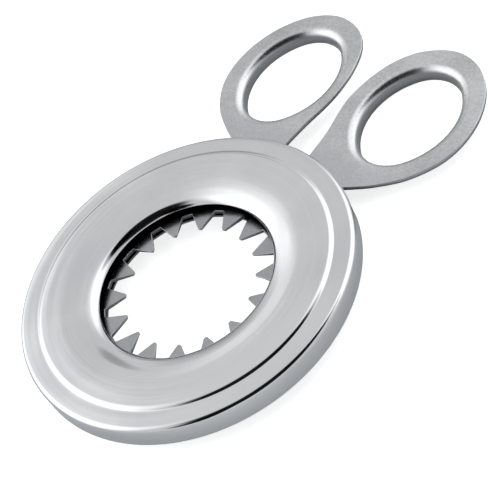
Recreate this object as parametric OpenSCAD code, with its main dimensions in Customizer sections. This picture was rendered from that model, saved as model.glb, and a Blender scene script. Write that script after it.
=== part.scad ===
/* [Casing] */
// Outer diameter of the round casing
casing_d = 85; // [80:1:90]
// Thickness of the pressed cover sheet
cover_t = 0.5; // [0.4:0.1:0.6]
// Height of the outer ring of the cover above the underside
ring_z = 7.2; // [6.8:0.1:8]
// Height of the lower edge of the side wall
wall_z = 1.3; // [1:0.1:1.5]
// Radius of the rounded rim between wall and top
rim_r = 1.3; // [0.9:0.1:1.6]
// Rise of the step from the outer ring to the inner tier
step_h = 0.5; // [0.3:0.05:0.6]
// Radius at which the step starts
step_r = 37.6; // [36.5:0.1:38]
// Radius at which the inner tier starts to fall
tier_r = 31.9; // [30:0.1:33]
// Angle from the handle direction to each end of the side window
window_a = 38; // [36:0.5:40]

/* [Opening] */
// Diameter of the round opening in the bottom pan
egg_d = 44.6; // [43:0.1:45.5]
// Radius of the lip, where the cover ends inside
lip_r = 22.2; // [21.8:0.1:23]
// Rolling radius of the lip
lip_roll = 3.1; // [2.6:0.1:3.4]
// Slope of the dished tier where the lip starts to roll down
dish_a = 16; // [14:0.5:18]

/* [Bottom pan] */
// Thickness of the pan
pan_t = 0.6; // [0.5:0.05:0.7]
// Height of the upturned rim of the pan
pan_h = 3.4; // [2.6:0.1:4]

/* [Levers] */
// Thickness of each lever plate
lever_t = 1.1; // [0.9:0.05:1.2]
// Running gap between neighbouring faces
run_gap = 0.05; // [0.04:0.01:0.08]
// Outer radius of the toothed jaw
jaw_r = 37; // [35:0.5:37.5]
// Half of the slit between the two jaws
slit = 0.35; // [0.2:0.05:0.6]
// Depth of the collar round each finger hole, from the top face
collar_h = 3.8; // [3.4:0.1:4.2]
// Outer radius of the roll into the finger hole
collar_roll = 2.5; // [2.2:0.1:2.8]

/* [Teeth] */
// Radius of the circle through the tooth tips
tip_r = 16.4; // [15.5:0.1:18]
// Radius of the circle through the tooth roots
root_r = 21.9; // [21.2:0.1:22.5]
// Angle of the first tooth from the cross axis
tooth_first = 12.9; // [12:0.1:13.5]
// Angle from one tooth to the next
tooth_pitch = 22.8; // [22:0.1:23]
// Half of the angle that a tooth takes at its root
tooth_half = 8.5; // [7.5:0.1:9.5]
// Rounding radius of each tip
tip_round = 0.65; // [0.3:0.05:1]

/* [Rivets] */
// Distance of the pivot from the centre of the casing
pivot_y = 32.3; // [31.5:0.1:33]
// Radius of the pivot rivet
pivot_shank = 2.5; // [2:0.1:3]
// Radius of the guide rivets
guide_shank = 1.5; // [1.2:0.1:1.8]
// Sideways distance of each guide rivet from the centre
guide_x = 31; // [30:0.5:31.5]
// Distance of each guide rivet behind the centre
guide_y = 2; // [0:0.5:3]
// Angle that a lever opens from the drawn position
open_a = 5.5; // [4:0.1:5.6]
// Angle that a lever closes from the drawn position
close_a = 1; // [0.5:0.1:1]

/* [Hidden] */
$fn = 128;
casing_r = casing_d / 2;
pan_rim_r = casing_r - cover_t;
pan_corner = 1.3;
egg_r = egg_d / 2;
// Underside of each lever plate, the right one below the left one
right_z = pan_t + run_gap;
left_z = right_z + lever_t + run_gap;
washer_z = left_z + lever_t + run_gap;
washer_t = 0.4;
washer_r = 5.2;
// Heads of the rivets and the rounding of their upper edges
head_r = 4.4;
head_h = 1.1;
head_round = 0.7;
guide_head_r = 2.8;
guide_head_h = 0.6;
guide_head_round = 0.4;
spacer_r = 3;
slot_gap = 0.1;
eye_r = 5.5;
// Arms of the step's S shape and the angle they turn
step_in = 0.6;
step_out = 1.8;
step_a = acos(1 - step_h / (step_in + step_out));
step_run = (step_in + step_out) * sin(step_a);
tier_z = ring_z + step_h;
// Slope of the lip at its end, and the radius of the dish that joins the tier and the lip
lip_a = 62;
dish_roll = lip_roll + (tier_r - lip_r - lip_roll * sin(lip_a)) / sin(dish_a);
lip_c = [
    tier_r - (dish_roll - lip_roll) * sin(dish_a),
    tier_z - dish_roll + (dish_roll - lip_roll) * cos(dish_a)
];

// Points of an arc in the plane, from angle a0 to angle a1
function arc(x, y, r, a0, a1, steps) =
    [for (i = [0:steps]) let (a = a0 + (a1 - a0) * i / steps) [x + r * cos(a), y + r * sin(a)]];
// Point of the smooth curve between p1 and p2 at t from 0 to 1
function between(p0, p1, p2, p3, t) =
    0.5 * (2 * p1 + (p2 - p0) * t + (2 * p0 - 5 * p1 + 4 * p2 - p3) * t * t
    + (3 * p1 - p0 - 3 * p2 + p3) * t * t * t);
// Smooth curve through all points but the first and the last
function curve(p, steps) = concat(
    [for (i = [1:len(p) - 3]) for (k = [0:steps - 1])
        between(p[i - 1], p[i], p[i + 1], p[i + 2], k / steps)],
    [p[len(p) - 2]]
);
function reversed(p) = [for (i = [len(p) - 1:-1:0]) p[i]];
function polar(r, a) = [r * cos(a), r * sin(a)];

// Section of the cover sheet at depth o below its outer face, from the wall to the lip
function cover_face(o) = concat(
    [[casing_r - o, wall_z]],
    arc(casing_r - rim_r, ring_z - rim_r, rim_r - o, 0, 90, 10),
    arc(step_r, ring_z + step_in, step_in + o, 270, 270 - step_a, 5),
    arc(step_r - step_run, tier_z - step_out, step_out - o, 90 - step_a, 90, 6),
    arc(tier_r, tier_z - dish_roll, dish_roll - o, 90, 90 + dish_a, 8),
    arc(lip_c[0], lip_c[1], lip_roll - o, 90 + dish_a, 90 + lip_a, 8)
);

// Wedge that opens the casing towards the handles, outside radius r
module window(r, z0, z1) {
    reach = 60;
    difference() {
        translate([0, 0, z0])
            linear_extrude(z1 - z0)
                polygon([
                    [0, 0],
                    [reach * sin(window_a), reach * cos(window_a)],
                    [-reach * sin(window_a), reach * cos(window_a)]
                ]);
        translate([0, 0, z0 - 1])
            cylinder(r = r, h = z1 - z0 + 2);
    }
}

module top_cover() {
    color([0.78, 0.79, 0.81])
        difference() {
            rotate_extrude()
                polygon(concat(cover_face(0), reversed(cover_face(cover_t))));
            window(casing_r - cover_t - 1, -1, ring_z - rim_r);
        }
}

module bottom_pan() {
    inner_r = pan_rim_r - pan_t;
    color([0.70, 0.71, 0.73])
        difference() {
            rotate_extrude()
                polygon(concat(
                    [[egg_r, pan_t], [egg_r, 0]],
                    arc(pan_rim_r - pan_corner, pan_corner, pan_corner, 270, 360, 8),
                    [[pan_rim_r, pan_h], [inner_r, pan_h]],
                    arc(pan_rim_r - pan_corner, pan_corner, pan_corner - pan_t, 360, 270, 6)
                ));
            window(pan_rim_r - pan_corner, -1, pan_h + 1);
            translate([0, -pivot_y, -1])
                cylinder(r = pivot_shank, h = 4);
            for (side = [-1, 1])
                translate([side * guide_x, -guide_y, -1])
                    cylinder(r = guide_shank, h = 4);
        }
}

// Finger hole as an oval of four quarter arcs: centre, half width and half height at the top face
hole_c = [19.1, 64.5];
hole_w = 14.6;
hole_h = 17.6;
// Distance of each arc's centre from the hole's centre, and the radii of the side and end arcs
arc_c = (hole_h - hole_w) / (2 - sqrt(2));
side_r = hole_w + arc_c;
end_r = hole_h - arc_c;
// The plate stops this far outside the roll, under the collar's flat edge
hole_lap = 0.4;

// Points of the oval, shrunk by d
function oval(d) = concat(
    arc(-arc_c, 0, side_r - d, -45, 45, 24),
    arc(0, arc_c, end_r - d, 45, 135, 24),
    arc(arc_c, 0, side_r - d, 135, 225, 24),
    arc(0, -arc_c, end_r - d, 225, 315, 24)
);

// Edge of each lever along the gap between the handles; the right one reaches nearer to the middle
right_inner = [
    [3.2, 37], [2.8, 42], [2.6, 46.5], [2.3, 52.5], [1.2, 59], [0.8, 64.5], [2.2, 72.3], [5.5, 79.2]
];
left_inner = [
    [4.9, 37], [4.8, 42], [4.6, 46.5], [3.9, 52.5], [2.8, 59], [2.5, 65], [3.4, 72.3], [5.9, 79]
];
// Edge round the loop's end and back along the outer side
loop_edge = [
    [10.9, 84.2], [19, 86.5], [27, 84.1], [33.2, 78], [36.7, 70.3], [37.5, 62], [35.6, 54.5],
    [30.7, 47.6], [24.6, 43], [20, 40.5], [16, 38.7], [12, 37.3]
];

// Outline of a whole handle down to the jaw
function handle_edge(inner) = concat(
    [[slit, root_r + 1], [slit, 33]],
    curve(concat(inner, loop_edge), 8),
    [[15, 34], [14, root_r + 4]]
);

// Section of the rolled collar and its flat edge at distance r from an arc's centre
module collar_section(r) {
    polygon(concat(
        [[r + 2 * hole_lap, lever_t]],
        arc(r, lever_t - collar_roll, collar_roll, 90, 180, 8),
        [[r - collar_roll, lever_t - collar_h], [r - collar_roll + lever_t, lever_t - collar_h]],
        arc(r, lever_t - collar_roll, collar_roll - lever_t, 180, 90, 4),
        [[r + 2 * hole_lap, 0]]
    ));
}

module collar() {
    for (flip = [0, 180])
        rotate(flip) {
            translate([-arc_c, 0, 0])
                rotate(-45)
                    rotate_extrude(angle = 90)
                        collar_section(side_r);
            translate([0, arc_c, 0])
                rotate(45)
                    rotate_extrude(angle = 90)
                        collar_section(end_r);
        }
}

// One cutting tooth that points at the centre from angle a
module tooth(a) {
    // Angle of the flank, so that it meets the rounded tip without a corner
    base = polar(root_r + 0.6, tooth_half);
    tip = [tip_r + tip_round, 0];
    span = norm(base - tip);
    lean = atan2(base[1] - tip[1], base[0] - tip[0]) + acos(tip_round / span);
    rotate(a)
        linear_extrude(lever_t)
            polygon(concat(
                [[base[0], -base[1]], [base[0] + 2, -base[1]], [base[0] + 2, base[1]], base],
                arc(tip[0], tip[1], tip_round, lean, 360 - lean, 8)
            ));
}

// Half ring with its teeth, up to the slit between the jaws
module jaw() {
    intersection() {
        union() {
            difference() {
                cylinder(r = jaw_r, h = lever_t);
                translate([0, 0, -1])
                    cylinder(r = root_r, h = lever_t + 2);
            }
            for (side = [-1, 1])
                for (k = [0:3])
                    tooth(side * (tooth_first + k * tooth_pitch));
        }
        translate([slit, -jaw_r - 1, -1])
            cube([jaw_r + 1, 2 * jaw_r + 2, lever_t + 2]);
    }
}

// Lever drawn on the right-hand side with its underside at z = 0
module lever(inner) {
    guide_d = norm([guide_x, pivot_y - guide_y]);
    guide_a = atan2(pivot_y - guide_y, guide_x);
    slot_r = guide_shank + slot_gap;
    slack = 1;
    difference() {
        union() {
            difference() {
                linear_extrude(lever_t)
                    polygon(handle_edge(inner));
                translate([0, 0, -1])
                    cylinder(r = root_r + 2, h = lever_t + 2);
                translate([hole_c[0], hole_c[1], -1])
                    linear_extrude(lever_t + 2)
                        polygon(oval(-hole_lap));
            }
            jaw();
            translate([0, -pivot_y, 0])
                cylinder(r = eye_r, h = lever_t);
            translate([hole_c[0], hole_c[1], 0])
                collar();
        }
        translate([0, -pivot_y, -1])
            cylinder(r = pivot_shank + run_gap, h = lever_t + 2);
        // Curved slot with wider round ends that the guide rivet runs in as the lever turns
        translate([0, -pivot_y, -1]) {
            rotate(guide_a - close_a - slack)
                rotate_extrude(angle = open_a + close_a + 2 * slack)
                    translate([guide_d - slot_r, 0])
                        square([2 * slot_r, lever_t + 2]);
            for (a = [guide_a - close_a - slack, guide_a + open_a + slack])
                rotate(a)
                    translate([guide_d, 0, 0])
                        cylinder(r = slot_r + run_gap, h = lever_t + 2);
        }
    }
}

module right_lever() {
    color([0.74, 0.75, 0.76])
        translate([0, 0, right_z])
            lever(right_inner);
}

module left_lever() {
    color([0.72, 0.73, 0.74])
        translate([0, 0, left_z])
            mirror([1, 0, 0])
                lever(left_inner);
}

// Rivet head of radius r and height h, its upper edge rounded by e
module rivet_head(r, h, e) {
    rotate_extrude()
        polygon(concat([[0, 0], [r, 0]], arc(r - e, h - e, e, 0, 90, 6), [[0, h]]));
}

module pivot_rivet() {
    head_z = washer_z + washer_t;
    color([0.66, 0.67, 0.69])
        translate([0, -pivot_y, 0]) {
            cylinder(r = pivot_shank, h = head_z);
            translate([0, 0, head_z])
                rivet_head(head_r, head_h, head_round);
        }
}

module pivot_washer() {
    color([0.80, 0.80, 0.81])
        translate([0, -pivot_y, washer_z])
            difference() {
                cylinder(r = washer_r, h = washer_t);
                translate([0, 0, -1])
                    cylinder(r = pivot_shank + run_gap, h = washer_t + 2);
            }
}

// Guide rivet whose head lies over a plate with its top face at z
module guide_rivet(side, z) {
    translate([side * guide_x, -guide_y, 0]) {
        cylinder(r = guide_shank, h = z + run_gap);
        translate([0, 0, z + run_gap])
            rivet_head(guide_head_r, guide_head_h, guide_head_round);
    }
}

module right_guide_rivet() {
    color([0.66, 0.67, 0.69])
        guide_rivet(1, right_z + lever_t);
}

module left_guide_rivet() {
    color([0.66, 0.67, 0.69])
        guide_rivet(-1, left_z + lever_t);
}

// Collar that holds the upper lever at its height over the pan
module left_guide_spacer() {
    color([0.80, 0.80, 0.81])
        translate([-guide_x, -guide_y, pan_t])
            difference() {
                cylinder(r = spacer_r, h = left_z - run_gap - pan_t);
                translate([0, 0, -1])
                    cylinder(r = guide_shank, h = left_z + 2);
            }
}

top_cover();
bottom_pan();
right_lever();
left_lever();
pivot_rivet();
pivot_washer();
right_guide_rivet();
left_guide_rivet();
left_guide_spacer();
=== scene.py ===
"""Egg topper: a pressed round casing, two toothed levers and the rivets that hold them."""

import logging
import math
from collections.abc import Callable, Sequence
from dataclasses import dataclass, field, replace
from enum import Enum

import bmesh
import bpy
from mathutils import Matrix, Vector


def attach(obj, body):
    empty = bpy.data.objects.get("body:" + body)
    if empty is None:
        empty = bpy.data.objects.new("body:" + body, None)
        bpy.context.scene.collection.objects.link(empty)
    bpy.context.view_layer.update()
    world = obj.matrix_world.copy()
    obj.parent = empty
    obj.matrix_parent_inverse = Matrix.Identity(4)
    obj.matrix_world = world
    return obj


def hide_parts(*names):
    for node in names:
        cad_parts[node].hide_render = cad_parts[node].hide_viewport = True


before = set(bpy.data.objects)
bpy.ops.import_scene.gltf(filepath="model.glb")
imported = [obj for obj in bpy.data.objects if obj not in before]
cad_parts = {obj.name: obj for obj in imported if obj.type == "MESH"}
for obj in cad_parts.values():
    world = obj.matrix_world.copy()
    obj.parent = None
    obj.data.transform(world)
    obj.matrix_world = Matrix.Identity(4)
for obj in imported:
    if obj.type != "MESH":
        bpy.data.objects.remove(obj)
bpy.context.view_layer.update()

LOG = logging.getLogger("egg_topper")
MM = 0.001
Point = tuple[float, float]
Colour = tuple[float, float, float]
Fade = tuple[float, float]
"""Value at which a mask is 0, and value at which it is 1."""
Edges = list[bmesh.types.BMEdge]
Socket = bpy.types.NodeSocket
AXIS: Point = (0.0, 0.0)
"""Casing's axis, seen from above."""


class Body(Enum):
    """Bodies of the topper that pieces ride on."""

    CASING = "casing"
    RIGHT = "right_arm"
    LEFT = "left_arm"


class Side(Enum):
    """Side of a lever, with the sign of its x direction."""

    RIGHT = 1
    LEFT = -1


def arc(centre: Point, radius: float, start: float, end: float, steps: int) -> list[Point]:
    """Points along an arc in a plane.

    Args:
        centre: Centre of the arc.
        radius: Radius of the arc.
        start: First angle in degrees.
        end: Last angle in degrees.
        steps: Number of equal steps.

    Returns:
        steps + 1 points from start to end.
    """
    points = []
    for i in range(steps + 1):
        a = math.radians(start + (end - start) * i / steps)
        points.append((centre[0] + radius * math.cos(a), centre[1] + radius * math.sin(a)))
    return points


def smooth_curve(points: Sequence[Point], steps: int) -> list[Point]:
    """Smooth curve through all points but the first and the last.

    Args:
        points: Points that the curve follows.
        steps: Steps between two neighbouring points.

    Returns:
        Points of the curve.
    """
    curve = []
    for i in range(1, len(points) - 2):
        p0, p1, p2, p3 = (Vector(p) for p in points[i - 1 : i + 3])
        for k in range(steps):
            t = k / steps
            v = 0.5 * (
                2 * p1
                + (p2 - p0) * t
                + (2 * p0 - 5 * p1 + 4 * p2 - p3) * t * t
                + (3 * p1 - p0 - 3 * p2 + p3) * t**3
            )
            curve.append((v.x, v.y))
    curve.append(points[-2])
    return curve


def polar(radius: float, angle: float) -> Point:
    """Point at a radius and an angle in degrees."""
    return radius * math.cos(math.radians(angle)), radius * math.sin(math.radians(angle))


def direction(azimuth: float, height: float) -> Vector:
    """Unit vector to a place in the room.

    Args:
        azimuth: Compass angle from +X towards +Y, in degrees.
        height: Angle above the horizon in degrees.

    Returns:
        The vector.
    """
    a, h = math.radians(azimuth), math.radians(height)
    return Vector((math.cos(a) * math.cos(h), math.sin(a) * math.cos(h), math.sin(h)))


# ---------------------------------------------------------------- meshes


@dataclass
class LoopSweep:
    """Closed loop of vertices that is extruded again and again into a smooth wall.

    Attributes:
        bm: Mesh that the wall is made in.
        edges: Edges of the last loop.
    """

    bm: bmesh.types.BMesh
    edges: Edges = field(default_factory=list)

    def start(self, points: Sequence[Vector]) -> Edges:
        """Begin the wall.

        Args:
            points: The first closed loop, in metres.

        Returns:
            Edges of the loop.
        """
        order = self.bm.verts.layers.int.get("order") or self.bm.verts.layers.int.new("order")
        verts = [self.bm.verts.new(p) for p in points]
        for i, v in enumerate(verts):
            v[order] = i
        count = len(verts)
        self.edges = [self.bm.edges.new((verts[i], verts[(i + 1) % count])) for i in range(count)]
        return self.edges

    def extrude_to(self, points: Sequence[Vector]) -> None:
        """Extrude the last loop to new places.

        Args:
            points: Where each vertex of the loop goes, in metres.
        """
        order = self.bm.verts.layers.int["order"]
        new = bmesh.ops.extrude_edge_only(self.bm, edges=self.edges)["geom"]
        for v in (g for g in new if isinstance(g, bmesh.types.BMVert)):
            v.co = points[v[order]]
        edges = [g for g in new if isinstance(g, bmesh.types.BMEdge)]
        self.edges = [e for e in edges if len(e.link_faces) < 2]


def inset_loop(points: Sequence[Point], depths: Sequence[float]) -> list[Point]:
    """Move a closed counter-clockwise outline inwards.

    Args:
        points: The outline.
        depths: How far each point moves, in the outline's unit.

    Returns:
        The moved outline, with as many points.
    """
    least_cosine = 0.5
    moved = []
    count = len(points)
    for i in range(count):
        before = Vector(points[i]) - Vector(points[i - 1])
        after = Vector(points[(i + 1) % count]) - Vector(points[i])
        n0 = Vector((-before.y, before.x)).normalized()
        n1 = Vector((-after.y, after.x)).normalized()
        mean = (n0 + n1).normalized()
        reach = depths[i] / max(least_cosine, mean.dot(n0))
        moved.append((points[i][0] + mean.x * reach, points[i][1] + mean.y * reach))
    return moved


def lift(points: Sequence[Point], z: float) -> list[Vector]:
    """Outline in millimetres as 3-D points in metres at height z."""
    return [Vector((x * MM, y * MM, z * MM)) for x, y in points]


def new_object(name: str, bm: bmesh.types.BMesh, smooth: bool = True) -> bpy.types.Object:
    """Turn a finished bmesh into an object at the origin.

    Args:
        name: Name of the object and its mesh.
        bm: The mesh, which is freed.
        smooth: Whether its faces are shaded smooth.

    Returns:
        The linked object.
    """
    mesh = bpy.data.meshes.new(name)
    for f in bm.faces:
        f.smooth = smooth
    bm.to_mesh(mesh)
    bm.free()
    obj = bpy.data.objects.new(name, mesh)
    bpy.context.scene.collection.objects.link(obj)
    return obj


def round_edges(obj: bpy.types.Object, width: float, segments: int, angle: float = 40) -> None:
    """Round the sharp edges of an object.

    Args:
        obj: The object.
        width: Width of the rounding in millimetres.
        segments: Steps across the rounding.
        angle: Edges sharper than this many degrees are rounded.
    """
    bevel = obj.modifiers.new("rounded_edges", "BEVEL")
    bevel.width = width * MM
    bevel.segments = segments
    bevel.limit_method = "ANGLE"
    bevel.angle_limit = math.radians(angle)
    bevel.harden_normals = True


# ---------------------------------------------------------------- shader nodes


@dataclass
class Bench:
    """Small helper that adds and links shader nodes in one tree.

    Attributes:
        tree: The tree.
    """

    tree: bpy.types.NodeTree

    def add(self, kind: str, **settings: object) -> bpy.types.Node:
        """Add a node.

        Args:
            kind: Its type name without the ShaderNode prefix.
            **settings: Properties to set on it.

        Returns:
            The node.
        """
        prefix = "" if kind.startswith("NodeGroup") else "ShaderNode"
        node = self.tree.nodes.new(prefix + kind)
        for name, value in settings.items():
            setattr(node, name, value)
        return node

    def feed(self, socket: Socket, value: object) -> None:
        """Link a socket into another, or set its value.

        Args:
            socket: Input that is fed.
            value: Output socket, number, vector or colour.
        """
        if isinstance(value, Socket):
            self.tree.links.new(value, socket)
        else:
            socket.default_value = value

    def feed_all(self, node: bpy.types.Node, values: Sequence[object]) -> bpy.types.Node:
        """Feed a node's inputs in their order.

        Args:
            node: The node.
            values: Sockets or values, one for each of its first inputs.

        Returns:
            The node.
        """
        for socket, value in zip(node.inputs, values):
            self.feed(socket, value)
        return node

    def math(self, operation: str, *values: object, clamp: bool = False) -> Socket:
        """Math node.

        Args:
            operation: The operation's name.
            *values: Sockets or numbers.
            clamp: Whether the result is kept from 0 to 1.

        Returns:
            The result's socket.
        """
        node = self.add("Math", operation=operation, use_clamp=clamp)
        return self.feed_all(node, values).outputs[0]

    def vector(self, operation: str, *values: object, output: int = 0) -> Socket:
        """Vector math node.

        Args:
            operation: The operation's name.
            *values: Sockets or vectors.
            output: 0 for a vector, 1 for a length or a dot product.

        Returns:
            The result's socket.
        """
        node = self.add("VectorMath", operation=operation)
        return self.feed_all(node, values).outputs[output]

    def split(self, vector: Socket) -> list[Socket]:
        """The x, y and z of a vector."""
        return list(self.feed_all(self.add("SeparateXYZ"), [vector]).outputs)

    def join(self, *parts: object) -> Socket:
        """Vector from its x, y and z, where one that is left out is 0."""
        return self.feed_all(self.add("CombineXYZ"), parts).outputs[0]

    def span(
        self, value: object, low: float, high: float, a: float = 0.0, b: float = 1.0
    ) -> Socket:
        """Smooth step of value from low..high to a..b.

        Args:
            value: Socket with the value.
            low: Value at which the result is a.
            high: Value at which the result is b.
            a: Result at low.
            b: Result at high.

        Returns:
            The result's socket.
        """
        node = self.add("MapRange", interpolation_type="SMOOTHSTEP")
        return self.feed_all(node, (value, low, high, a, b)).outputs[0]

    def noise(self, vector: object, scale: object, detail: float, rough: float) -> Socket:
        """Noise value.

        Args:
            vector: Socket with the coordinates.
            scale: Socket or number.
            detail: Octaves.
            rough: Weight of the finer octaves.

        Returns:
            The value's socket.
        """
        node = self.add("TexNoise")
        self.feed(node.inputs["Vector"], vector)
        self.feed(node.inputs["Scale"], scale)
        self.feed(node.inputs["Detail"], detail)
        self.feed(node.inputs["Roughness"], rough)
        return node.outputs["Fac"]

    def weigh(self, first: Socket, second: Socket, share: float) -> Socket:
        """Weighted mean of two values.

        Args:
            first: First value.
            second: Second value.
            share: Weight of the first one, from 0 to 1.

        Returns:
            The mean's socket.
        """
        part = self.math("MULTIPLY", first, share)
        return self.math("ADD", part, self.math("MULTIPLY", second, 1 - share))

    def blend(self, factor: object, a: object, b: object) -> Socket:
        """Colour mix.

        Args:
            factor: Socket or number, 0 for a and 1 for b.
            a: Colour or socket.
            b: Colour or socket.

        Returns:
            The mixed colour's socket.
        """
        factor_at, a_at, b_at, result_at = 0, 6, 7, 2
        node = self.add("Mix", data_type="RGBA")
        self.feed(node.inputs[factor_at], factor)
        self.feed(node.inputs[a_at], a)
        self.feed(node.inputs[b_at], b)
        return node.outputs[result_at]

    def bump(
        self, height: Socket, strength: float, depth: float, normal: Socket | None = None
    ) -> Socket:
        """Relief.

        Args:
            height: Socket with the height.
            strength: Strength of the relief.
            depth: Height of its full range in metres.
            normal: Normal that it stands on, if not the surface's own.

        Returns:
            The normal's socket.
        """
        node = self.add("Bump")
        node.inputs["Strength"].default_value = strength
        node.inputs["Distance"].default_value = depth
        self.feed(node.inputs["Height"], height)
        if normal is not None:
            self.feed(node.inputs["Normal"], normal)
        return node.outputs[0]


def shader_group(
    name: str, inputs: dict[str, tuple[str, object]], outputs: Sequence[str]
) -> tuple[bpy.types.NodeTree, Bench, bpy.types.Node, bpy.types.Node]:
    """Make an empty shader node group.

    Args:
        name: Name of the group.
        inputs: Each input's name with its kind, Float or Vector, and its default.
        outputs: Names of the float outputs.

    Returns:
        The tree, its bench, its input node and its output node.
    """
    tree = bpy.data.node_groups.new(name, "ShaderNodeTree")
    for label, (kind, value) in inputs.items():
        socket = tree.interface.new_socket(label, in_out="INPUT", socket_type="NodeSocket" + kind)
        if kind == "Float":
            socket.default_value = value
    for label in outputs:
        tree.interface.new_socket(label, in_out="OUTPUT", socket_type="NodeSocketFloat")
    bench = Bench(tree)
    return tree, bench, bench.add("NodeGroupInput"), bench.add("NodeGroupOutput")


PIT_SIZE = 0.16
"""Scale of the pits as a share of the grain's scale."""
PIT_FADE: Fade = (0.78, 0.84)
PIT_DARK = 0.6
"""How much darker a pit is."""


def tumbled_grain() -> bpy.types.NodeTree:
    """Fine matte grain, cloudy patches and a few small pits of tumbled steel.

    Returns:
        The group.
    """
    tree, b, start, end = shader_group(
        "tumbled_grain",
        {"Vector": ("Vector", None), "Grain": ("Float", 1500.0), "Patch": ("Float", 60.0)},
        ("Tone", "Height", "Gloss"),
    )
    vector = start.outputs["Vector"]
    grain = b.noise(vector, start.outputs["Grain"], detail=3.0, rough=0.6)
    patch = b.noise(vector, start.outputs["Patch"], detail=5.0, rough=0.55)
    pit_scale = b.math("MULTIPLY", start.outputs["Grain"], PIT_SIZE)
    pits = b.span(b.noise(vector, pit_scale, detail=2.0, rough=0.4), *PIT_FADE)
    tone = b.weigh(grain, patch, 0.45)
    dark = b.math("MULTIPLY", pits, PIT_DARK)
    b.feed(end.inputs["Tone"], b.math("SUBTRACT", tone, dark, clamp=True))
    b.feed(end.inputs["Height"], b.math("SUBTRACT", grain, pits))
    b.feed(end.inputs["Gloss"], b.weigh(patch, grain, 0.7))
    return tree


RING_CHANGE = 1.5
"""How far the fine rings change on their way round."""
SWELL_SCALE = 320.0
"""Scale of the broad ripples per metre of radius."""
SWELL_CHANGE = 0.9
"""How far the broad ripples change on their way round."""


def polish_rings() -> bpy.types.NodeTree:
    """Fine rings that polishing leaves round the axis, cloudy wear and broad ripples.

    Returns:
        The group.
    """
    tree, b, start, end = shader_group(
        "polish_rings",
        {"Vector": ("Vector", None), "Rings": ("Float", 9000.0), "Patch": ("Float", 35.0)},
        ("Tone", "Height", "Gloss", "Ripple"),
    )
    vector, rings = start.outputs["Vector"], start.outputs["Rings"]
    x, y, z = b.split(vector)
    radius = b.vector("LENGTH", b.join(x, y), output=1)
    turn = b.math("ARCTAN2", y, x)
    sine, cosine = b.math("SINE", turn), b.math("COSINE", turn)
    ring = b.join(
        b.math("MULTIPLY", radius, rings),
        b.math("MULTIPLY", sine, RING_CHANGE),
        b.math("MULTIPLY", z, rings),
    )
    swell = b.join(
        b.math("MULTIPLY", radius, SWELL_SCALE),
        b.math("MULTIPLY", sine, SWELL_CHANGE),
        b.math("MULTIPLY", cosine, SWELL_CHANGE),
    )
    lines = b.noise(ring, 1.0, detail=2.0, rough=0.5)
    patch = b.noise(vector, start.outputs["Patch"], detail=4.0, rough=0.5)
    b.feed(end.inputs["Ripple"], b.noise(swell, 1.0, detail=1.0, rough=0.4))
    b.feed(end.inputs["Tone"], b.weigh(lines, patch, 0.3))
    b.feed(end.inputs["Height"], lines)
    b.feed(end.inputs["Gloss"], b.weigh(lines, patch, 0.4))
    return tree


CUT_SLOPE: Fade = (0.75, 0.35)
"""Upward part of the normal on a plate's faces, and on its cut sides."""
TEAR_SCALE = 900.0
"""Scale of the torn line's raggedness per metre."""
TEAR_RAGGED = 0.3
"""How far the torn line wanders, as a share of the thickness."""
TEAR_FADE: Fade = (0.35, 0.5)
"""Depth at which the bright sheared band ends, as a share of the thickness."""


def cut_face() -> bpy.types.NodeTree:
    """Mask of the torn lower part of a plate's cut sides, under their bright sheared band.

    Returns:
        The group.
    """
    tree, b, start, end = shader_group(
        "cut_face",
        {
            "Vector": ("Vector", None),
            "Normal": ("Vector", None),
            "Top": ("Float", 0.0),
            "Thick": ("Float", 0.0011),
        },
        ("Torn",),
    )
    vector = start.outputs["Vector"]
    side = b.span(b.math("ABSOLUTE", b.split(start.outputs["Normal"])[2]), *CUT_SLOPE)
    below = b.math("SUBTRACT", start.outputs["Top"], b.split(vector)[2])
    depth = b.math("DIVIDE", below, start.outputs["Thick"])
    ragged = b.math("SUBTRACT", b.noise(vector, TEAR_SCALE, detail=2.0, rough=0.5), 0.5)
    line = b.math("ADD", depth, b.math("MULTIPLY", ragged, TEAR_RAGGED))
    b.feed(end.inputs["Torn"], b.math("MULTIPLY", side, b.span(line, *TEAR_FADE)))
    return tree


class Effects:
    """Shader groups that the finishes share, each built once."""

    def __init__(self) -> None:
        """Build every group."""
        self.grain = tumbled_grain()
        self.rings = polish_rings()
        self.cut = cut_face()


# ---------------------------------------------------------------- finishes


CLOUDS: Fade = (0.3, 0.7)
"""Values of a grain between which a finish turns from dark to light, or smooth to rough."""
GRAIN_DEPTH = 0.00002
"""Height of the fine grain in metres."""


@dataclass(frozen=True)
class Overlay:
    """Colour that lies over the steel in one place, for stains and for painted light and shade.

    Attributes:
        colour: The colour.
        share: How much of the steel's own colour it covers.
    """

    colour: Colour
    share: float = 1.0


class Surface:
    """Places on a piece, and its colour, gloss and relief as far as they are built."""

    def __init__(self, b: Bench, pattern: bpy.types.Node) -> None:
        """Read the places, and feed them to the grain.

        Args:
            b: Bench of the material's tree.
            pattern: Group node with the grain.
        """
        source = b.add("TexCoord")
        self.b = b
        self.pattern = pattern
        self.place = source.outputs["Object"]
        self.normal = source.outputs["Normal"]
        self.x, self.y, _ = b.split(self.place)
        self.up = b.split(self.normal)[2]
        self.radius = b.vector("LENGTH", b.join(self.x, self.y), output=1)
        self.colour: Socket | None = None
        self.gloss: Socket | None = None
        self.height = pattern.outputs["Height"]
        b.feed(pattern.inputs["Vector"], self.place)

    def stain(self, mask: Socket, stain: Overlay) -> None:
        """Lay a colour over the steel where a mask is 1.

        Args:
            mask: Socket with the mask.
            stain: The colour and its share.
        """
        share = self.b.math("MULTIPLY", mask, stain.share)
        self.colour = self.b.blend(share, self.colour, (*stain.colour, 1))

    def roughen(self, mask: Socket, amount: float) -> None:
        """Add to the roughness where a mask is 1."""
        self.gloss = self.b.math("ADD", self.gloss, self.b.math("MULTIPLY", mask, amount))


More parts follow.
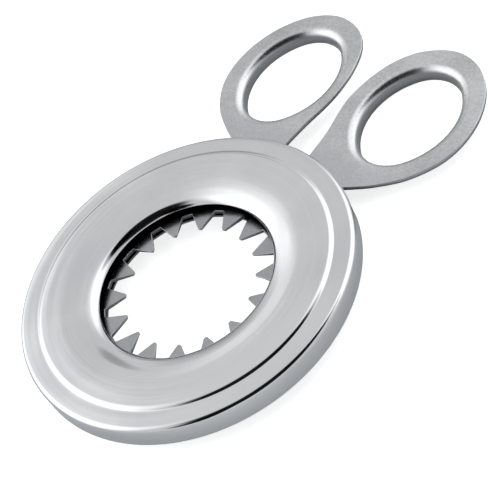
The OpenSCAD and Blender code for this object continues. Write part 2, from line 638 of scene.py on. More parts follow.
@dataclass(frozen=True)
class SteelFinish:
    """Bare stainless steel with a fine tumbled grain.

    Attributes:
        name: Name of the material.
        dark: Colour of the darker grain.
        light: Colour of the lighter grain.
        smooth: Roughness where it is most polished.
        rough: Roughness where it is least polished.
        bump: Strength of the grain's relief.
        grain: Scale of the grain, or of the rings, per metre.
        patch: Scale of the cloudy patches per metre.
    """

    name: str
    dark: Colour
    light: Colour
    smooth: float
    rough: float
    bump: float
    grain: float
    patch: float

    def pattern(self, b: Bench, effects: Effects) -> bpy.types.Node:
        """Place the grain's group.

        Args:
            b: Bench of the material's tree.
            effects: The shared shader groups.

        Returns:
            The group's node.
        """
        group = b.add("Group", node_tree=effects.grain)
        group.inputs["Grain"].default_value = self.grain
        return group

    def wear(self, surface: Surface, effects: Effects) -> None:
        """Add what differs from place to place; plain steel has nothing."""

    def relief(self, surface: Surface) -> Socket:
        """Normal with the grain's relief."""
        return surface.b.bump(surface.height, self.bump, GRAIN_DEPTH)

    def material(self, effects: Effects) -> bpy.types.Material:
        """Build the material.

        Args:
            effects: The shared shader groups.

        Returns:
            The material.
        """
        mat = bpy.data.materials.new(self.name)
        mat.use_nodes = True
        b = Bench(mat.node_tree)
        shader = mat.node_tree.nodes["Principled BSDF"]
        shader.inputs["Metallic"].default_value = 1.0
        group = self.pattern(b, effects)
        group.inputs["Patch"].default_value = self.patch
        surface = Surface(b, group)
        tone = b.span(group.outputs["Tone"], *CLOUDS)
        surface.colour = b.blend(tone, (*self.dark, 1), (*self.light, 1))
        surface.gloss = b.span(group.outputs["Gloss"], *CLOUDS, self.smooth, self.rough)
        self.wear(surface, effects)
        b.feed(shader.inputs["Base Color"], surface.colour)
        b.feed(shader.inputs["Roughness"], surface.gloss)
        b.feed(shader.inputs["Normal"], self.relief(surface))
        return mat


@dataclass(frozen=True)
class CoverFinish(SteelFinish):
    """Polished steel of the cover, with fine rings round the axis and broad ripples, painted light
    on its wall and painted shade inside.

    Attributes:
        wall_slope: Upward part of the normal, from the rim to the upright wall.
        wall: Painted light: a lighter colour on the upright wall that paints in the brighter
            reflection it shows.
        inside_slope: Upward part of the normal that is inside the cover.
        inside_fade: Radii in metres past which the inside is hidden by the lip.
        inside: Painted shade, near black, on the inside of the cover.
        ripple: Depth of the broad ripples that pressing leaves, in metres.
    """

    wall_slope: Fade = (0.25, 0.02)
    wall: Overlay = Overlay((0.76, 0.775, 0.79))
    inside_slope: Fade = (-0.05, -0.3)
    inside_fade: Fade = (0.0226, 0.0228)
    inside: Overlay = Overlay((0.03, 0.03, 0.03))
    ripple: float = 0.0001

    def pattern(self, b: Bench, effects: Effects) -> bpy.types.Node:
        """Place the rings' group.

        Args:
            b: Bench of the material's tree.
            effects: The shared shader groups.

        Returns:
            The group's node.
        """
        group = b.add("Group", node_tree=effects.rings)
        group.inputs["Rings"].default_value = self.grain
        return group

    def wear(self, surface: Surface, effects: Effects) -> None:
        """Paint light on the upright wall and paint shade inside the cover.

        Args:
            surface: The surface so far.
            effects: The shared shader groups; not used here.
        """
        b = surface.b
        # Painted light: a lighter colour on the upright wall, for a brighter reflection.
        surface.stain(b.span(surface.up, *self.wall_slope), self.wall)
        # Painted shade: near black on the cover's inside faces past the lip.
        facing_in = b.span(surface.up, *self.inside_slope)
        past_lip = b.span(surface.radius, *self.inside_fade)
        surface.stain(b.math("MULTIPLY", facing_in, past_lip), self.inside)

    def relief(self, surface: Surface) -> Socket:
        """Normal with the rings' relief on the broad ripples."""
        broad = surface.b.bump(surface.pattern.outputs["Ripple"], 1.0, self.ripple)
        return surface.b.bump(surface.height, self.bump, GRAIN_DEPTH, broad)


@dataclass(frozen=True)
class LeverFinish(SteelFinish):
    """Tumbled steel of a lever, with its teeth, neck, collar and cut sides, painted shade by and
    inside the casing and painted light on the collar.

    Lengths are in metres, as the nodes read them.

    Attributes:
        top: Height of the plate's top face.
        thick: Thickness of the plate.
        tooth_fade: Radii where the teeth begin.
        teeth: Darker colour laid over the teeth.
        neck_fade: Distances along the handle where the painted shade by the casing begins.
        neck_clouds: Values of the grain's gloss over which that painted shade lies in clouds.
        neck: Painted shade on the neck, by the casing.
        hole: Centre of the finger hole, with x for either side.
        collar_fade: Distances from that centre where the drawn roll begins.
        collar_slope: Upward part of the normal where the roll bends down.
        collar: Painted light: a lighter colour on the roll where it bends down.
        collar_rough: Roughness that drawing adds.
        collar_relief: Share by which drawing deepens the grain.
        torn_dark: Torn sides' colour as a share of the dark grain's.
        torn_share: How much of a torn side that colour covers.
        torn_rough: Roughness that tearing adds.
        hidden_from: Radii where the part inside the casing begins.
        hidden_to: Radii where it ends.
        hidden: Painted shade on the part inside the casing.
    """

    top: float = 0.0
    thick: float = 0.0011
    tooth_fade: Fade = (0.0225, 0.0215)
    teeth: Overlay = Overlay((0.24, 0.24, 0.25), 0.6)
    neck_fade: Fade = (0.051, 0.043)
    neck_clouds: Fade = (0.40, 0.55)
    neck: Overlay = Overlay((0.36, 0.38, 0.41), 0.35)
    hole: Point = (0.0191, 0.0645)
    collar_fade: Fade = (0.0181, 0.0177)
    collar_slope: Fade = (0.95, 0.6)
    collar: Overlay = Overlay((0.68, 0.69, 0.70))
    collar_rough: float = 0.05
    collar_relief: float = 2.5
    torn_dark: float = 0.55
    torn_share: float = 0.8
    torn_rough: float = 0.15
    hidden_from: Fade = (0.0216, 0.0226)
    hidden_to: Fade = (0.0415, 0.0395)
    hidden: Overlay = Overlay((0.02, 0.02, 0.02), 0.9)

    def wear(self, surface: Surface, effects: Effects) -> None:
        """Finish each zone of the lever, with its painted shade and light.

        Args:
            surface: The surface so far.
            effects: The shared shader groups.
        """
        b = surface.b
        surface.stain(b.span(surface.radius, *self.tooth_fade), self.teeth)
        # Painted shade: the neck darkens towards the casing, laid in the grain's clouds.
        near = b.span(surface.y, *self.neck_fade)
        clouded_shade = b.span(surface.pattern.outputs["Gloss"], *self.neck_clouds)
        surface.stain(b.math("MULTIPLY", near, clouded_shade), self.neck)
        self.light_and_draw_collar(surface)
        self.tear_sides(surface, effects)
        # Painted shade: near black on the part of the lever inside the casing.
        begun = b.span(surface.radius, *self.hidden_from)
        not_ended = b.span(surface.radius, *self.hidden_to)
        surface.stain(b.math("MULTIPLY", begun, not_ended), self.hidden)

    def light_and_draw_collar(self, surface: Surface) -> None:
        """Paint light on the finger hole's roll where it is drawn down, and make the steel coarser
        there.

        Args:
            surface: The surface so far.
        """
        b = surface.b
        across = b.math("SUBTRACT", b.math("ABSOLUTE", surface.x), self.hole[0])
        along = b.math("SUBTRACT", surface.y, self.hole[1])
        square = b.math("ADD", b.math("MULTIPLY", across, across), b.math("MULTIPLY", along, along))
        close = b.span(b.math("SQRT", square), *self.collar_fade)
        drawn = b.math("MULTIPLY", close, b.span(surface.up, *self.collar_slope))
        # Painted light: a lighter colour on the roll where it bends down; the same mask also
        # roughens and deepens the grain.
        surface.stain(drawn, self.collar)
        surface.roughen(drawn, self.collar_rough)
        deeper = b.math("ADD", 1.0, b.math("MULTIPLY", drawn, self.collar_relief))
        surface.height = b.math("MULTIPLY", surface.height, deeper)

    def tear_sides(self, surface: Surface, effects: Effects) -> None:
        """Darken and roughen the torn part of the cut sides.

        Args:
            surface: The surface so far.
            effects: The shared shader groups.
        """
        cut = surface.b.add("Group", node_tree=effects.cut)
        surface.b.feed(cut.inputs["Vector"], surface.place)
        surface.b.feed(cut.inputs["Normal"], surface.normal)
        cut.inputs["Top"].default_value = self.top
        cut.inputs["Thick"].default_value = self.thick
        red, green, blue = (self.torn_dark * part for part in self.dark)
        surface.stain(cut.outputs["Torn"], Overlay((red, green, blue), self.torn_share))
        surface.roughen(cut.outputs["Torn"], self.torn_rough)


COVER_FINISH = CoverFinish(
    "polished_cover_steel", dark=(0.60, 0.61, 0.63), light=(0.70, 0.71, 0.72),
    smooth=0.07, rough=0.13, bump=0.05, grain=9000.0, patch=45.0,
)
LEVER_FINISH = LeverFinish(
    "tumbled_lever_steel", dark=(0.47, 0.48, 0.495), light=(0.65, 0.66, 0.67),
    smooth=0.20, rough=0.28, bump=0.30, grain=1500.0, patch=70.0,
)
PAN_FINISH = SteelFinish(
    "mill_pan_steel", dark=(0.42, 0.43, 0.44), light=(0.52, 0.53, 0.54),
    smooth=0.28, rough=0.38, bump=0.2, grain=1800.0, patch=50.0,
)
RIVET_FINISH = SteelFinish(
    "upset_rivet_steel", dark=(0.45, 0.45, 0.46), light=(0.58, 0.58, 0.59),
    smooth=0.2, rough=0.32, bump=0.15, grain=2500.0, patch=200.0,
)
WASHER_FINISH = SteelFinish(
    "punched_washer_steel", dark=(0.55, 0.55, 0.55), light=(0.68, 0.68, 0.68),
    smooth=0.22, rough=0.36, bump=0.15, grain=2500.0, patch=180.0,
)


def dress(obj: bpy.types.Object, finish: SteelFinish, effects: Effects) -> None:
    """Give a piece or a construction solid its finish.

    Args:
        obj: The object.
        finish: Its finish.
        effects: The shared shader groups.
    """
    obj.data.materials.clear()
    obj.data.materials.append(finish.material(effects))
    LOG.info("dressed %s in %s", obj.name, finish.name)


# ---------------------------------------------------------------- casing


@dataclass
class CasingCover:
    """Pressed cover: side wall with its window, rim, outer ring, raised tier and funnel.

    Sizes are in millimetres and angles in degrees.

    Attributes:
        radius: Radius of the wall.
        sheet: Thickness of the sheet.
        wall_z: Height of the wall's lower edge.
        wall_loops: Loops of vertices up the wall.
        ring_z: Height of the outer ring.
        rim: Radius of the bend from the wall to the ring.
        ring_loops: Distances of the ring's loops from the step.
        step_r: Radius at which the step up to the tier begins.
        step_rise: Height of the step.
        step_in: Radius of the step's lower bend.
        step_out: Radius of the step's upper bend.
        tier_r: Radius at which the tier bends down into the funnel.
        tier_loops: Distances of the tier's loops from the funnel.
        dish: Slope at which the funnel meets the lip.
        lip_r: Radius of the opening.
        lip_roll: Radius of the lip's roll.
        lip_end: Slope of the lip at its edge.
        window: Half the angle of the wall's opening for the handles.
        turns: Faces round the cover.
        edge: Rounding of the sheet's cut edges.
    """

    radius: float = 42.5
    sheet: float = 0.5
    wall_z: float = 1.3
    wall_loops: int = 8
    ring_z: float = 7.2
    rim: float = 1.3
    ring_loops: tuple[float, ...] = (2.6, 1.6, 0.6)
    step_r: float = 37.6
    step_rise: float = 0.5
    step_in: float = 0.6
    step_out: float = 1.8
    tier_r: float = 31.9
    tier_loops: tuple[float, ...] = (3.4, 2.0, 0.8)
    dish: float = 16.0
    lip_r: float = 22.2
    lip_roll: float = 3.1
    lip_end: float = 62.0
    window: float = 38.0
    turns: int = 180
    edge: float = 0.2

    @property
    def tier_z(self) -> float:
        """Height of the tier."""
        return self.ring_z + self.step_rise

    def step_curve(self) -> list[Point]:
        """Two bends of the step from the ring up to the tier.

        Returns:
            Points of the outer face, inwards.
        """
        both = self.step_in + self.step_out
        lean = math.degrees(math.acos(1 - self.step_rise / both))
        run = both * math.sin(math.radians(lean))
        foot = arc((self.step_r, self.ring_z + self.step_in), self.step_in, 270, 270 - lean, 6)
        head_centre = (self.step_r - run, self.tier_z - self.step_out)
        return foot + arc(head_centre, self.step_out, 90 - lean, 90, 10)[1:]

    def funnel_curve(self) -> list[Point]:
        """Wide bend of the funnel and tight roll of its lip.

        Returns:
            Points of the outer face, inwards.
        """
        dish, end = math.radians(self.dish), math.radians(self.lip_end)
        left_over = self.tier_r - self.lip_r - self.lip_roll * math.sin(end)
        roll = self.lip_roll + left_over / math.sin(dish)
        inner = roll - self.lip_roll
        low = self.tier_z - roll
        centre = (self.tier_r - inner * math.sin(dish), low + inner * math.cos(dish))
        bend = arc((self.tier_r, low), roll, 90, 90 + self.dish, 16)
        return bend + arc(centre, self.lip_roll, 90 + self.dish, 90 + self.lip_end, 16)[1:]

    def section(self) -> list[Point]:
        """Outer face of the sheet.

        Returns:
            Points from the wall's lower edge to the lip.
        """
        rim_z = self.ring_z - self.rim
        rise = (rim_z - self.wall_z) / self.wall_loops
        points = [(self.radius, self.wall_z + i * rise) for i in range(self.wall_loops)]
        points += arc((self.radius - self.rim, rim_z), self.rim, 0, 90, 16)
        points += [(self.step_r + d, self.ring_z) for d in self.ring_loops]
        points += self.step_curve()
        points += [(self.tier_r + d, self.tier_z) for d in self.tier_loops]
        return points + self.funnel_curve()

    def in_window(self, centre: Vector) -> bool:
        """Whether a face lies in the wall's opening for the handles.

        Args:
            centre: Middle of the face in metres.

        Returns:
            True where the face is cut away.
        """
        off = abs(math.degrees(math.atan2(centre.x, centre.y)))
        under_rim = centre.z < (self.ring_z - self.rim) * MM
        return off < self.window and under_rim and centre.xy.length > self.step_r * MM

    def sheet_mesh(self) -> bmesh.types.BMesh:
        """Spin the section, open the window and turn the faces outwards.

        Returns:
            The mesh of the outer face.
        """
        bm = bmesh.new()
        verts = [bm.verts.new((x * MM, 0, z * MM)) for x, z in self.section()]
        edges = [bm.edges.new(pair) for pair in zip(verts, verts[1:])]
        bmesh.ops.spin(
            bm, geom=verts + edges, cent=(0, 0, 0), axis=(0, 0, 1), angle=2 * math.pi,
            steps=self.turns, use_merge=True,
        )
        opened = [f for f in bm.faces if self.in_window(f.calc_center_median())]
        bmesh.ops.delete(bm, geom=opened, context="FACES")
        bmesh.ops.recalc_face_normals(bm, faces=bm.faces)
        middle = (self.step_r + self.radius) / 2 * MM
        ring = min(bm.faces, key=lambda f: abs(f.calc_center_median().xy.length - middle))
        if ring.normal.z < 0:
            bmesh.ops.reverse_faces(bm, faces=bm.faces)
        return bm

    def build(self, effects: Effects) -> bpy.types.Object:
        """Give the sheet its thickness, its rounded edges and its finish.

        Args:
            effects: The shared shader groups.

        Returns:
            The cover.
        """
        cover = new_object("casing_cover", self.sheet_mesh())
        shell = cover.modifiers.new("sheet", "SOLIDIFY")
        shell.thickness = self.sheet * MM
        shell.offset = -1
        shell.use_even_offset = True
        round_edges(cover, self.edge, 3)
        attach(cover, Body.CASING.value)
        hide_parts("top_cover")
        dress(cover, COVER_FINISH, effects)
        return cover


# ---------------------------------------------------------------- levers


GAP_EDGE: dict[Side, list[Point]] = {
    Side.RIGHT: [
        (3.2, 37), (2.8, 42), (2.6, 46.5), (2.3, 52.5), (1.2, 59), (0.8, 64.5), (2.2, 72.3),
        (5.5, 79.2),
    ],
    Side.LEFT: [
        (4.9, 37), (4.8, 42), (4.6, 46.5), (3.9, 52.5), (2.8, 59), (2.5, 65), (3.4, 72.3),
        (5.9, 79),
    ],
}
"""Each handle's edge along the gap between the two, in millimetres."""
LOOP_EDGE: list[Point] = [
    (10.9, 84.2), (19, 86.5), (27, 84.1), (33.2, 78), (36.7, 70.3), (37.5, 62),
    (35.6, 54.5), (30.7, 47.6), (24.6, 43), (20, 40.5), (16, 38.7), (12, 37.3),
]
"""Edge round either finger loop and back to the jaw, in millimetres."""
TEETH_EACH_HALF = 4
LEVEL = 0.9999
"""Least upward part of the normal on a level face."""
NEAR = 1e-4
"""Distance in millimetres that counts as none."""


@dataclass
class Lever:
    """One stamped lever: finger loop with a rolled collar, shank, half jaw and teeth.

    Sizes are in millimetres and angles in degrees. Either lever is drawn on the right, with
    its own edge along the gap, and the left one is then mirrored.

    Attributes:
        side: Side of the lever.
        under: Height of its underside.
        thick: Thickness of the plate.
        jaw_r: Outer radius of the jaw.
        jaw_from: Angle at which the jaw's outer edge leaves the eye.
        jaw_to: Sideways distance at which that edge meets the handle.
        shoulder: Point of the bend from the jaw to the loop.
        notch: Point between the handle's edge and the slit.
        slit: Half the slit between the jaws.
        slit_end: Distance along the handle at which the slit opens.
        root_r: Radius of the teeth's roots.
        tip_r: Radius of their tips.
        tip_round: Rounding of the tips.
        tooth_first: Angle of the first tooth from the cross axis.
        tooth_pitch: Angle from tooth to tooth.
        tooth_half: Half the angle of a tooth where its flanks end.
        flank_past: How far past the roots that is.
        pivot_y: Distance of the pivot from the axis.
        eye_r: Radius of the eye round the pivot.
        eye_from: Angle at which the eye's edge begins.
        eye_to: Angle at which it ends.
        pivot_r: Radius of the pivot's hole.
        guide: Place of the guide rivet.
        slot_r: Half the width of the guide's slot.
        slot_from: Angle of its first end from the rivet.
        slot_to: Angle of its last end from the rivet.
        hole: Centre of the finger hole.
        hole_w: Half its width at the roll's outer edge.
        hole_h: Half its height there.
        roll: Outer radius of the roll.
        collar: Depth of the collar.
        edge: Rounding of the cut edges.
        land: Height of the sheared land under the top face.
        ground: How far the teeth are ground back at their underside.
    """

    side: Side
    under: float
    thick: float = 1.1
    jaw_r: float = 37.0
    jaw_from: float = -85.3
    jaw_to: float = 15.0
    shoulder: Point = (15.0, 34.0)
    notch: Point = (1.43, 36.97)
    slit: float = 0.35
    slit_end: float = 36.99
    root_r: float = 21.9
    tip_r: float = 16.4
    tip_round: float = 0.65
    tooth_first: float = 12.9
    tooth_pitch: float = 22.8
    tooth_half: float = 8.5
    flank_past: float = 0.6
    pivot_y: float = 32.3
    eye_r: float = 5.5
    eye_from: float = 86.35
    eye_to: float = 303.5
    pivot_r: float = 2.55
    guide: Point = (31.0, -2.0)
    slot_r: float = 1.6
    slot_from: float = -2.2
    slot_to: float = 6.5
    hole: Point = (19.1, 64.5)
    hole_w: float = 14.6
    hole_h: float = 17.6
    roll: float = 2.5
    collar: float = 3.8
    edge: float = 0.12
    land: float = 0.3
    ground: float = 0.5

    @property
    def over(self) -> float:
        """Height of the plate's top face."""
        return self.under + self.thick

    @property
    def pivot(self) -> Point:
        """Place of the pivot."""
        return 0, -self.pivot_y

    @property
    def finish(self) -> LeverFinish:
        """Finish of this lever, whose cut sides hang from its own top face."""
        name = LEVER_FINISH.name + "_" + self.side.name.lower()
        return replace(LEVER_FINISH, name=name, top=self.over * MM)

    def handle(self) -> list[Point]:
        """Outline of shank and loop, from the slit round the loop to the jaw's outer edge."""
        return smooth_curve([*GAP_EDGE[self.side], *LOOP_EDGE], 12)

    def tooth(self, angle: float) -> list[Point]:
        """One tooth's outline, from its lower to its upper root.

        Args:
            angle: Direction of the tooth from the cross axis.

        Returns:
            Points from the root at the smaller angle round the tip.
        """
        base = Vector(polar(self.root_r + self.flank_past, self.tooth_half))
        tip = Vector((self.tip_r + self.tip_round, 0))
        lean = math.degrees(math.atan2(base.y, base.x - tip.x))
        lean += math.degrees(math.acos(self.tip_round / (base - tip).length))
        rounded = arc((tip.x, 0), self.tip_round, 360 - lean, lean, 10)
        touch = Vector(rounded[-1])
        run = base - touch
        root = touch + run * ((self.root_r - touch.length) / (base.length - touch.length))
        flank = [(root.x, -root.y), *rounded, (root.x, root.y)]
        turn = Matrix.Rotation(math.radians(angle), 2)
        return [tuple(turn @ Vector(p)) for p in flank]

    def teeth(self) -> list[Point]:
        """Inner edge of the jaw with its eight teeth.

        Returns:
            Points from the near slit to the far one.
        """
        s = self.slit
        half = [self.tooth_first + k * self.tooth_pitch for k in range(TEETH_EACH_HALF)]
        angles = [*reversed(half), *(-a for a in half)]
        root = math.degrees(math.atan2(*reversed(self.tooth(0)[-1])))
        points: list[Point] = [(s, self.root_r)]
        for angle, following in zip(angles, [*angles[1:], None]):
            points += [p for p in reversed(self.tooth(angle)) if p[0] >= s]
            if following is not None:
                points += arc(AXIS, self.root_r, angle - root, following + root, 5)[1:-1]
        return [*points, (s, -self.root_r)]

    def outline(self) -> list[Point]:
        """Whole outline of the plate.

        Returns:
            Points of the outline, counter-clockwise.
        """
        far = math.sqrt(self.jaw_r**2 - self.jaw_to**2)
        join = math.degrees(math.atan2(far, self.jaw_to))
        outer = arc(AXIS, self.jaw_r, self.jaw_from, join, 120)
        eye = arc(self.pivot, self.eye_r, self.eye_from, self.eye_to, 48)
        shank = [self.shoulder, *reversed(self.handle()), self.notch, (self.slit, self.slit_end)]
        return [*eye, *outer, *shank, *self.teeth()]

    def oval(self, shrink: float) -> list[Point]:
        """Finger hole as four arcs, shrunk from the edge of its roll.

        Args:
            shrink: How far it lies inside the roll's outer edge.

        Returns:
            Points of the oval.
        """
        shift = (self.hole_h - self.hole_w) / (2 - math.sqrt(2))
        side_r = self.hole_w + shift
        end_r = self.hole_h - shift
        x, y = self.hole
        quarters = (
            ((x - shift, y), side_r, -45),
            ((x, y + shift), end_r, 45),
            ((x + shift, y), side_r, 135),
            ((x, y - shift), end_r, 225),
        )
        points = []
        for centre, radius, start in quarters:
            points += arc(centre, radius - shrink, start, start + 90, 28)[:-1]
        return points

    def guide_slot(self) -> list[Point]:
        """Curved slot of the guide rivet, about the pivot.

        Returns:
            Points of the slot's edge.
        """
        dx, dy = self.guide[0], self.guide[1] + self.pivot_y
        reach = math.hypot(dx, dy)
        middle = math.degrees(math.atan2(dy, dx))
        a0, a1 = middle + self.slot_from, middle + self.slot_to
        first, last = polar(reach, a0), polar(reach, a1)
        points = arc(self.pivot, reach + self.slot_r, a0, a1, 8)
        end = (last[0], last[1] - self.pivot_y)
        points += arc(end, self.slot_r, a1, a1 + 180, 10)[1:-1]
        points += arc(self.pivot, reach - self.slot_r, a1, a0, 8)
        end = (first[0], first[1] - self.pivot_y)
        points += arc(end, self.slot_r, a0 - 180, a0, 10)[1:-1]
        return points

    def cut_wall(
        self, bm: bmesh.types.BMesh, place: Callable[[float, float], list[Point]]
    ) -> tuple[Edges, Edges]:
        """Cut wall from the top face to the bottom face, rounded at both edges.

        Args:
            bm: Mesh of the plate.
            place: Gives the loop for an inset and for the share of the teeth's grinding.

        Returns:
            Edges of the wall's loop in the top face, and of that in the bottom face.
        """
        turns = [math.radians(a) for a in (0, 30, 60, 90)]
        steps = [(self.edge * (1 - math.sin(a)), self.edge * (1 - math.cos(a))) for a in turns]
        sweep = LoopSweep(bm)
        top = sweep.start(lift(place(steps[0][0], 0), self.over))
        for inset, drop in steps[1:]:
            sweep.extrude_to(lift(place(inset, 0), self.over - drop))
        sweep.extrude_to(lift(place(0, 0), self.over - self.land))
        for inset, drop in reversed(steps):
            sweep.extrude_to(lift(place(inset, 1), self.under + drop))
        return top, sweep.edges

    def collar_wall(self, bm: bmesh.types.BMesh) -> tuple[Edges, Edges]:
        """Wall of the finger hole: over the roll, down the collar and up behind it.

        Args:
            bm: Mesh of the plate.

        Returns:
            Edges of the wall's loop in the top face, and of that in the bottom face.
        """
        deep = self.over - self.collar
        roll, edge, back = self.roll, self.edge, self.roll - self.thick
        bend = 0.3 * edge
        front_turns = [math.radians(a) for a in range(10, 91, 10)]
        back_turns = [math.radians(a) for a in range(90, -1, -15)]
        path = [(roll * math.sin(a), self.over - roll * (1 - math.cos(a))) for a in front_turns]
        path += [(roll, deep + edge), (roll - bend, deep + bend), (roll - edge, deep)]
        path += [(back + edge, deep), (back + bend, deep + bend), (back, deep + edge)]
        path += [(back * math.sin(a), self.over - roll + back * math.cos(a)) for a in back_turns]
        sweep = LoopSweep(bm)
        top = sweep.start(lift(self.oval(0), self.over))
        for shrink, z in path:
            sweep.extrude_to(lift(self.oval(shrink), z))
        return top, sweep.edges

    def plate_mesh(self) -> bmesh.types.BMesh:
        """Make the walls and close the top and bottom faces between them.

        Returns:
            The mesh of the plate.
        """
        bm = bmesh.new()
        outline, slot = self.outline(), self.guide_slot()
        inward = [min(1.0, max(0.0, self.root_r - math.hypot(x, y))) for x, y in outline]
        ground = [self.ground * share for share in inward]
        walls = (
            self.cut_wall(bm, lambda d, part: inset_loop(outline, [d + part * g for g in ground])),
            self.cut_wall(bm, lambda d, _: arc(self.pivot, self.pivot_r + d, 0, 360, 48)[:-1]),
            self.cut_wall(bm, lambda d, _: inset_loop(slot, [-d] * len(slot))),
            self.collar_wall(bm),
        )
        for rims in zip(*walls):
            edges = [edge for rim in rims for edge in rim]
            bmesh.ops.triangle_fill(bm, use_beauty=True, use_dissolve=False, edges=edges)
        bmesh.ops.scale(bm, vec=(self.side.value, 1, 1), verts=bm.verts)
        bmesh.ops.recalc_face_normals(bm, faces=bm.faces)
        return bm

    def build(self, effects: Effects) -> bpy.types.Object:
        """Make and dress the lever, with its top and bottom face shaded flat.

        Args:
            effects: The shared shader groups.

        Returns:
            The lever.
        """
        name = self.side.name.lower()
        lever = new_object(name + "_lever_plate", self.plate_mesh())
        for polygon in lever.data.polygons:
            z = polygon.center.z / MM
            in_face = min(abs(z - self.under), abs(z - self.over)) < NEAR
            polygon.use_smooth = not (in_face and abs(polygon.normal.z) > LEVEL)
        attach(lever, (Body.RIGHT if self.side is Side.RIGHT else Body.LEFT).value)
        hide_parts(name + "_lever")
        dress(lever, self.finish, effects)
        return lever


# ---------------------------------------------------------------- hardware


@dataclass
class Hardware:
    """Pan, rivets, washer and spacer, whose construction solids stay.

    Attributes:
        pan: The pan's solid.
        rivets: The rivets' solids.
        washers: The solids of the pivot's washer and of the left guide's spacer.
    """

    pan: str = "bottom_pan"
    rivets: tuple[str, ...] = ("pivot_rivet", "right_guide_rivet", "left_guide_rivet")
    washers: tuple[str, ...] = ("pivot_washer", "left_guide_spacer")

    def build(self, effects: Effects) -> None:
        """Dress every solid.

        Args:
            effects: The shared shader groups.
        """
        dress(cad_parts[self.pan], PAN_FINISH, effects)
        for node in self.rivets:
            dress(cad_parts[node], RIVET_FINISH, effects)
        for node in self.washers:
            dress(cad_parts[node], WASHER_FINISH, effects)


# ---------------------------------------------------------------- studio


@dataclass(frozen=True)
class PhotoCamera:
    """Camera at the photograph's angle.

    Attributes:
        azimuth: Angle round the object from the view along +Y, in degrees.
        elevation: Angle above the horizon in degrees.
        roll: Turn about the line of sight in degrees.
        shift: Sideways and downward place of the origin in casing radii.
        distance: Distance to the origin's plane in casing radii.
        focal: Focal length in picture widths.
        unit: Casing radius in metres.
        origin_z: Height of the measured origin over the row's origin in metres.
        sensor: Width of the sensor in millimetres.
        nearest: Nearest distance that it shows, in metres.
    """

    azimuth: float = 63.23
    elevation: float = 45.556
    roll: float = -31.10
    shift: Point = (-0.3260, 0.2097)
    distance: float = 7.7318
    focal: float = 2.776412
    unit: float = 0.0425
    origin_z: float = 0.0013
    sensor: float = 36.0
    nearest: float = 0.01

    def place(self) -> bpy.types.Object:
        """Make the camera and set it as the scene's own.

        Returns:
            The camera.
        """
        a, e, r = (math.radians(v) for v in (self.azimuth, self.elevation, self.roll))
        forward = -Vector((math.sin(a) * math.cos(e), -math.cos(a) * math.cos(e), math.sin(e)))
        right = forward.cross(Vector((0, 0, 1))).normalized()
        down = -right.cross(forward)
        across = right * math.cos(r) - down * math.sin(r)
        below = right * math.sin(r) + down * math.cos(r)
        origin = -(across * self.shift[0] + below * self.shift[1] + forward * self.distance)
        data = bpy.data.cameras.new("photo_camera")
        data.sensor_width = self.sensor
        data.lens = self.focal * data.sensor_width
        data.clip_start = self.nearest
        camera = bpy.data.objects.new("photo_camera", data)
        bpy.context.scene.collection.objects.link(camera)
        turn = Matrix((across, -below, -forward)).transposed().to_4x4()
        spot = origin * self.unit + Vector((0, 0, self.origin_z))
        camera.matrix_world = Matrix.Translation(spot) @ turn
        bpy.context.scene.camera = camera
        return camera


@dataclass(frozen=True)
class Softbox:
    """Large soft lamp, which the steel doesn't mirror: the room's glows stand for it there.

    Attributes:
        name: Name of the lamp.
        azimuth: Compass angle of the lamp from +X towards +Y, in degrees.
        height: Angle above the horizon in degrees.
        distance: Distance from the origin in metres.
        size: Width and height in metres.
        glow: Brightness of its face.
    """

    name: str
    azimuth: float
    height: float
    distance: float
    size: Point
    glow: float

    def place(self) -> bpy.types.Object:
        """Make the lamp, aimed at the origin.

        Returns:
            The lamp.
        """
        data = bpy.data.lights.new(self.name, "AREA")
        data.shape = "RECTANGLE"
        data.size, data.size_y = self.size
        data.energy = self.glow * math.pi * self.size[0] * self.size[1]
        lamp = bpy.data.objects.new(self.name, data)
        bpy.context.scene.collection.objects.link(lamp)
        lamp.visible_glossy = False
        way = direction(self.azimuth, self.height)
        turn = way.to_track_quat("Z", "Y").to_matrix().to_4x4()
        lamp.matrix_world = Matrix.Translation(way * self.distance) @ turn
        return lamp


@dataclass(frozen=True)
class Glow:
    """Soft round patch of the room that is lighter or darker than the rest.

    Attributes:
        azimuth: Compass angle of its middle from +X towards +Y, in degrees.
        height: Angle of its middle above the horizon in degrees.
        inner: Radius of its even middle in degrees.
        outer: Radius at which it has faded out, in degrees.
        level: What it adds to the room's brightness.
    """

    azimuth: float
    height: float
    inner: float
    outer: float
    level: float

    def light(self, b: Bench, way: Socket) -> Socket:
        """What the patch adds in one direction.

        Args:
            b: Bench of the world's tree.
            way: Socket with the direction of the ray.

        Returns:
            Socket that is level in its middle and 0 outside it.
        """
        near = b.vector("DOT_PRODUCT", way, direction(self.azimuth, self.height), output=1)
        rim, core = (math.cos(math.radians(angle)) for angle in (self.outer, self.inner))
        return b.math("MULTIPLY", b.span(near, rim, core), self.level)


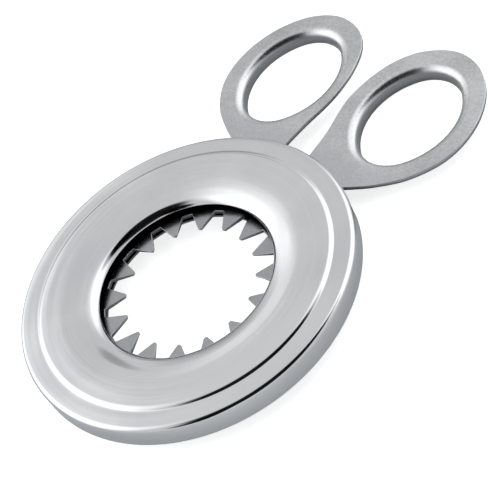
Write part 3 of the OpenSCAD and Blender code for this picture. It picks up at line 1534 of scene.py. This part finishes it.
@dataclass
class Studio:
    """Pale floor, soft lamps, the camera, and a grey room with lighter and darker patches.

    Attributes:
        floor_z: Height of the floor in metres.
        floor_reach: Half the floor's width in metres.
        floor_colour: Colour of the floor.
        floor_white: What the floor adds for the camera alone, so that it shows white.
        camera: The camera.
        lamps: The lamps.
        room: Brightness of the room.
        dark: Dark side, whose level is the share of the room's brightness that it adds.
        glows: The other patches, which the steel mirrors as its bright and dark bands.
    """

    floor_z: float = -0.0021
    floor_reach: float = 4.0
    floor_colour: Colour = (0.68, 0.70, 0.72)
    floor_white: float = 0.80
    camera: PhotoCamera = PhotoCamera()
    lamps: tuple[Softbox, ...] = (
        Softbox("softbox_far_right", 82.0, 36.0, 0.9, (0.40, 0.40), 1.6),
        Softbox("softbox_left", 214.0, 28.0, 0.9, (0.55, 0.50), 1.6),
    )
    room: float = 0.80
    dark: Glow = Glow(340.0, 58.0, 28.0, 40.0, -0.99)
    glows: tuple[Glow, ...] = (
        Glow(82.0, 36.0, 18.0, 43.0, 0.9),
        Glow(214.0, 28.0, 22.0, 47.0, 0.9),
        Glow(145.0, 34.5, 2.0, 5.5, -0.35),
        Glow(164.0, 32.0, 6.0, 9.5, 0.22),
        Glow(300.0, 29.0, 11.0, 20.0, -0.8),
        Glow(40.0, 57.0, 12.0, 20.0, -0.85),
        Glow(150.0, 2.0, 12.0, 24.0, -0.35),
    )

    def paper(self) -> bpy.types.Material:
        """Pale matte material that shows white to the camera and keeps the shadow.

        Returns:
            The material.
        """
        mat = bpy.data.materials.new("pale_floor")
        mat.use_nodes = True
        b = Bench(mat.node_tree)
        mat.node_tree.nodes.clear()
        out = b.add("OutputMaterial")
        matte = b.add("BsdfDiffuse")
        matte.inputs["Color"].default_value = (*self.floor_colour, 1)
        glow = b.add("Emission")
        glow.inputs["Color"].default_value = (1, 1, 1, 1)
        seen = b.add("LightPath").outputs["Is Camera Ray"]
        b.feed(glow.inputs["Strength"], b.math("MULTIPLY", seen, self.floor_white))
        both = b.feed_all(b.add("AddShader"), (matte.outputs[0], glow.outputs[0]))
        b.feed(out.inputs["Surface"], both.outputs[0])
        return mat

    def floor(self) -> bpy.types.Object:
        """Large pale floor.

        Returns:
            The floor.
        """
        bm = bmesh.new()
        bmesh.ops.create_grid(bm, x_segments=1, y_segments=1, size=self.floor_reach)
        bmesh.ops.translate(bm, vec=(0, 0, self.floor_z), verts=bm.verts)
        floor = new_object("studio_floor", bm, smooth=False)
        floor.data.materials.append(self.paper())
        return floor

    def world(self) -> None:
        """Soft grey room with its patches, which the camera itself sees as white."""
        world = bpy.data.worlds.new("studio_room")
        bpy.context.scene.world = world
        world.use_nodes = True
        b = Bench(world.node_tree)
        world.node_tree.nodes.clear()
        out = b.add("OutputWorld")
        back = b.add("Background")
        way = b.vector("NORMALIZE", b.add("TexCoord").outputs["Generated"])
        level = b.math("MULTIPLY", b.math("ADD", 1.0, self.dark.light(b, way)), self.room)
        for glow in self.glows:
            level = b.math("ADD", level, glow.light(b, way))
        seen = b.math("MAXIMUM", level, b.add("LightPath").outputs["Is Camera Ray"])
        b.feed(back.inputs["Strength"], seen)
        back.inputs["Color"].default_value = (1, 1, 1, 1)
        b.feed(out.inputs["Surface"], back.outputs[0])

    def build(self) -> None:
        """Set up the whole studio."""
        scene = bpy.context.scene
        scene.view_settings.view_transform = "Standard"
        self.floor()
        self.world()
        for lamp in self.lamps:
            lamp.place()
        self.camera.place()


# ---------------------------------------------------------------- assembly


@dataclass
class EggTopper:
    """The whole topper.

    Attributes:
        cover: The pressed cover.
        levers: The levers with their undersides' heights; the left one lies on the right one.
        hardware: What lies under the cover.
    """

    cover: CasingCover = field(default_factory=CasingCover)
    levers: tuple[Lever, ...] = (Lever(Side.RIGHT, 0.65), Lever(Side.LEFT, 1.80))
    hardware: Hardware = field(default_factory=Hardware)

    def build(self) -> None:
        """Build and dress every piece."""
        effects = Effects()
        self.cover.build(effects)
        for lever in self.levers:
            lever.build(effects)
        self.hardware.build(effects)


def main() -> None:
    """Build the topper and its studio."""
    logging.basicConfig(level=logging.INFO, format="%(name)s: %(message)s")
    EggTopper().build()
    Studio().build()


if __name__ == "__main__":
    main()
